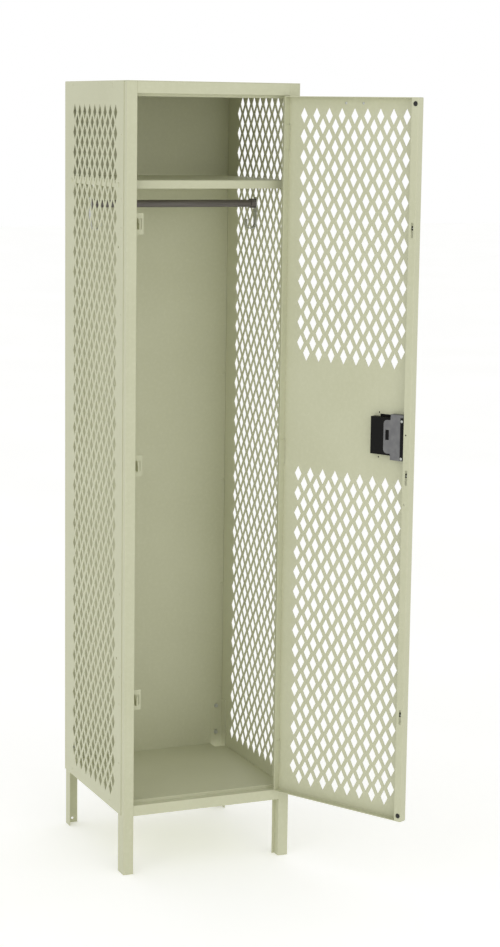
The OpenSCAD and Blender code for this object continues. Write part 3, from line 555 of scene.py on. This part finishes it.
def dome(radius, height, rim):
    """Profile of a domed head from its flat underside over its rim to its crown."""
    arcs = 5
    points = [(0.0, 0.0), (radius, 0.0), (radius, rim)]
    for i in range(1, arcs + 1):
        turn = math.radians(90 * i / arcs)
        out = radius * math.cos(turn) if i < arcs else 0.0
        points.append((out, rim + (height - rim) * math.sin(turn)))
    return points


def plain_rod(radius):
    """Profile of a rod that is 1 long, to be stretched to its length."""
    return [(0.0, 0.0), (radius, 0.0), (radius, 1.0), (0.0, 1.0)]


# %% Places of the CAD solids
def solids_of(node):
    """The corner points of each solid in a CAD node, solid by solid in the mesh's own order."""
    shell = bmesh.new()
    shell.from_mesh(frame["nodes"][node].data)
    bmesh.ops.remove_doubles(shell, verts=shell.verts, dist=WELD)
    shell.verts.index_update()
    seen, found = [False] * len(shell.verts), []
    for first in shell.verts:
        if seen[first.index]:
            continue
        seen[first.index] = True
        stack, island = [first], []
        while stack:
            vert = stack.pop()
            island.append(vert.co.copy())
            for edge in vert.link_edges:
                other = edge.other_vert(vert)
                if not seen[other.index]:
                    seen[other.index] = True
                    stack.append(other)
        found.append(island)
    shell.free()
    return found


def shank_axis(points, hint):
    """The two end points of a fastener whose axis lies along the hint."""
    ends = [p.dot(hint) for p in points]
    middle = sum(points, Vector()) / len(points)
    base = middle - hint * middle.dot(hint)
    return base + hint * min(ends), base + hint * max(ends)


def add_shape(target, shape, place):
    """Copies a turned shape into the target at a place, and leaves the shape for the next use."""
    mesh = bpy.data.meshes.new("shape")
    shape.to_mesh(mesh)
    mesh.transform(place)
    target.from_mesh(mesh)
    bpy.data.meshes.remove(mesh)


def along(direction, origin, length=1):
    """A matrix that puts Z along a direction, at an origin, and stretches it to a length."""
    turn = direction.to_track_quat("Z", "Y").to_matrix().to_4x4()
    return Matrix.Translation(origin) @ turn @ Matrix.Diagonal((1, 1, length, 1))


X, Y = Vector((1, 0, 0)), Vector((0, 1, 0))
hinge = next(j for j in frame["joints"] if j["name"] == "door_hinge")
open_turn = math.radians(-hinge["range_deg"][0])
DOOR_Y = Matrix.Rotation(open_turn, 3, "Z") @ Y  # the closed door's Y, turned with it
print("side rivets", len(solids_of("side_rivets")), "door open by", -hinge["range_deg"][0])

# %% Rivets
RIVET_RADIUS_MM, RIVET_HEAD_MM, RIVET_RIM_MM, RIVET_SHANK_MM = 3.5, 1.1, 0.2, 2
rivet_head = turned(dome(RIVET_RADIUS_MM * MM, RIVET_HEAD_MM * MM, RIVET_RIM_MM * MM))
rivet_shank = turned(plain_rod(RIVET_SHANK_MM * MM), 12)
RIVETS = {
    "side_rivets": (X, enamel, "body_paint"),
    "top_rivets": (X, enamel, "body_paint"),
    "back_rivets": (Y, enamel, "body_paint"),
    "cover_rivets": (DOOR_Y, zinc, "zinc_steel"),
    "number_plate_rivets": (DOOR_Y, zinc, "zinc_steel"),
}
for node, (hint, material, slot) in RIVETS.items():
    work = bmesh.new()
    for points in solids_of(node):
        low, high = shank_axis(points, hint)
        way = (high - low).normalized()
        head = way * RIVET_HEAD_MM * MM
        add_shape(work, rivet_head, along(way, high - head))
        add_shape(work, rivet_head, along(-way, low + head))
        grip = (high - low).length - 2 * RIVET_HEAD_MM * MM
        add_shape(work, rivet_shank, along(way, low + head, grip))
    print(node, "faces", len(work.faces))
    finish_piece(work, node, "domed", material)

# %% A carriage bolt's head, shank, end and nut
HEAD_RADIUS_MM, HEAD_MM, HEAD_RIM_MM, BOLT_RADIUS_MM = 6, 2.5, 0.4, 3
NUT_MM, NUT_FLATS_MM, NUT_EDGE_MM, END_MM = 5.0, 10.0, 0.45, 1.0  # the nut includes the end
bolt_head = turned(dome(HEAD_RADIUS_MM * MM, HEAD_MM * MM, HEAD_RIM_MM * MM), 24)
end_outline = [(0, 0), (2.9, 0), (2.9, 0.6), (2.4, END_MM), (0, END_MM)]  # a chamfered thread
bolt_end = turned([(r * MM, h * MM) for r, h in end_outline], 20)
bolt_shank = turned(plain_rod(BOLT_RADIUS_MM * MM), 16)
nut = bmesh.new()
corner = NUT_FLATS_MM / 2 / math.cos(math.radians(30)) * MM
height = (NUT_MM - END_MM) * MM
bmesh.ops.create_cone(nut, cap_ends=True, segments=6, radius1=corner, radius2=corner, depth=height)
bmesh.ops.translate(nut, verts=nut.verts, vec=(0, 0, height / 2))
round_off(nut, [e for e in nut.edges if sharp(e)], NUT_EDGE_MM * MM, 2)
print("nut faces", len(nut.faces), "head faces", len(bolt_head.faces))

# %% Bolts with their nuts
BOLTS = {
    "shelf_bolts": (X, enamel, "body_paint"),
    "rear_leg_bolts": (Y, zinc, "zinc_steel"),
}
for node, (hint, material, slot) in BOLTS.items():
    work = bmesh.new()
    for points in solids_of(node):
        low, high = shank_axis(points, hint)
        outwards = hint if (low + high).dot(hint) > 0 else -hint
        head_end, nut_end = (high, low) if outwards == hint else (low, high)
        seat = nut_end + outwards * NUT_MM * MM
        grip = (head_end - nut_end).length - (HEAD_MM + NUT_MM) * MM
        add_shape(work, bolt_head, along(outwards, head_end - outwards * HEAD_MM * MM))
        add_shape(work, nut, along(-outwards, seat))
        add_shape(work, bolt_end, along(-outwards, nut_end + outwards * END_MM * MM))
        add_shape(work, bolt_shank, along(outwards, seat, grip))
    print(node, "faces", len(work.faces))
    finish_piece(work, node, "domed", material)

# %% Rubber bumpers
PAD_MM = 2
pad_outline = [(0, 0), (5.6, 0), (6, 0.5), (5.7, 1.3), (4.6, 1.85), (0, PAD_MM)]  # a soft button
bumper_pad = turned([(r * MM, h * MM) for r, h in pad_outline], 28)
bumper_stem = turned(plain_rod(1.9 * MM), 16)
work = bmesh.new()
for points in solids_of("bumpers"):
    low, high = shank_axis(points, DOOR_Y)
    add_shape(work, bumper_pad, along(DOOR_Y, high - DOOR_Y * PAD_MM * MM))
    add_shape(work, bumper_stem, along(DOOR_Y, low, (high - low).length - PAD_MM * MM))
print("bumpers faces", len(work.faces))
finish_piece(work, "bumpers", "moulded", rubber)
used = (rivet_head, rivet_shank, bolt_head, bolt_end, bolt_shank, nut, bumper_pad, bumper_stem)
for shape in used:
    shape.free()

# %% [markdown]
# ## Studio
# A catalogue picture of a locker is lit from all sides, so that no side is lost. A white surround
# gives most of the light, a large soft box at the front left models the folds, and a smaller one
# in front lights the inside. The floor is pale and glows a little, so that it fades into the
# surround, which the camera itself sees as pure white paper.

# %% Floor
scene = bpy.context.scene
scene.view_settings.view_transform = "Standard"
FLOOR_HALF_M, FLOOR_PATCH_MM = 30, 900
WHITE = (1, 1, 1, 1)
floor_mesh = bpy.data.meshes.new("studio_floor")
work = bmesh.new()
bmesh.ops.create_grid(work, x_segments=2, y_segments=2, size=FLOOR_HALF_M)
work.to_mesh(floor_mesh)
work.free()
floor = bpy.data.objects.new("studio_floor", floor_mesh)
scene.collection.objects.link(floor)
floor_finish, tree, place = new_finish("pale_studio_floor")
patches = {"Value": grain(tree, place, FLOOR_PATCH_MM), **MIDDLE}
soiled = put(tree, "ShaderNodeMapRange", patches, out="Result")
shade(
    tree,
    Base_Color=coats(tree, "#FAFAF8", (soiled, "#FDFDFC")),
    Roughness=0.9,
    Emission_Color=WHITE,
    Emission_Strength=0.25,
)
floor_mesh.materials.append(floor_finish)
floor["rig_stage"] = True
print(floor.name, "metres across", 2 * FLOOR_HALF_M)

# %% Surround
SURROUND = 0.77  # light from the surround; the paper itself is exposed to pure white
world = bpy.data.worlds.new("white_surround")
scene.world = world
world.use_nodes = True
tree = world.node_tree
tree.nodes.clear()
light = {"Color": WHITE, "Strength": SURROUND}
paper = {"Color": WHITE, "Strength": 1.0}
seen_or_lit = {
    0: put(tree, "ShaderNodeLightPath", out="Is Camera Ray"),
    1: put(tree, "ShaderNodeBackground", light, out="Background"),
    2: put(tree, "ShaderNodeBackground", paper, out="Background"),
}
surround = put(tree, "ShaderNodeMixShader", seen_or_lit, out="Shader")
put(tree, "ShaderNodeOutputWorld", {"Surface": surround})
print(world.name, "nodes", len(tree.nodes))


# %% Soft boxes
def soft_box(name, size, power, place, target):
    """A square lamp, in metres and watts, that looks from a place to a target."""
    lamp = bpy.data.lights.new(name, "AREA")
    lamp.shape = "SQUARE"
    lamp.size = size
    lamp.energy = power
    holder = bpy.data.objects.new(name, lamp)
    holder.location = place
    holder.rotation_euler = (Vector(target) - Vector(place)).to_track_quat("-Z", "Y").to_euler()
    scene.collection.objects.link(holder)
    print(name, "watts", power)


MIDDLE_OF_CABINET = (0, 0, 1.0)
soft_box("left_soft_box", 3.0, 26, (-4.5, -3.5, 3.0), MIDDLE_OF_CABINET)
soft_box("front_soft_box", 2.0, 19, (0.4, -4.8, 2.5), MIDDLE_OF_CABINET)

# %% [markdown]
# ## Camera
# A long lens from the front left and a little above the middle, as far back as a small studio
# allows. Its axes are worked out from a heading, a tilt and a slight roll.

# %% Camera
HEADING, TILT, ROLL = 0.4077, 0.1609, 0.0139  # radians
SENSOR_MM, LENS_MM = 36, 84.81
CAMERA_PLACE = (-2.0888, -5.3119, 1.9115)
level_forward = Vector((math.sin(HEADING), math.cos(HEADING), 0))
forward = level_forward * math.cos(TILT) - Vector((0, 0, math.sin(TILT)))
level = Vector((math.cos(HEADING), -math.sin(HEADING), 0))
upward = level.cross(forward)
right = level * math.cos(ROLL) + upward * math.sin(ROLL)
top = upward * math.cos(ROLL) - level * math.sin(ROLL)
axes = Matrix((right, top, -forward)).transposed().to_4x4()
lens = bpy.data.cameras.new("studio_camera")
lens.sensor_width = SENSOR_MM
lens.lens = LENS_MM
camera = bpy.data.objects.new("studio_camera", lens)
camera.matrix_world = Matrix.Translation(CAMERA_PLACE) @ axes
scene.collection.objects.link(camera)
scene.camera = camera
print(camera.name, "lens in mm", LENS_MM)

# %% Finish
low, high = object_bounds()
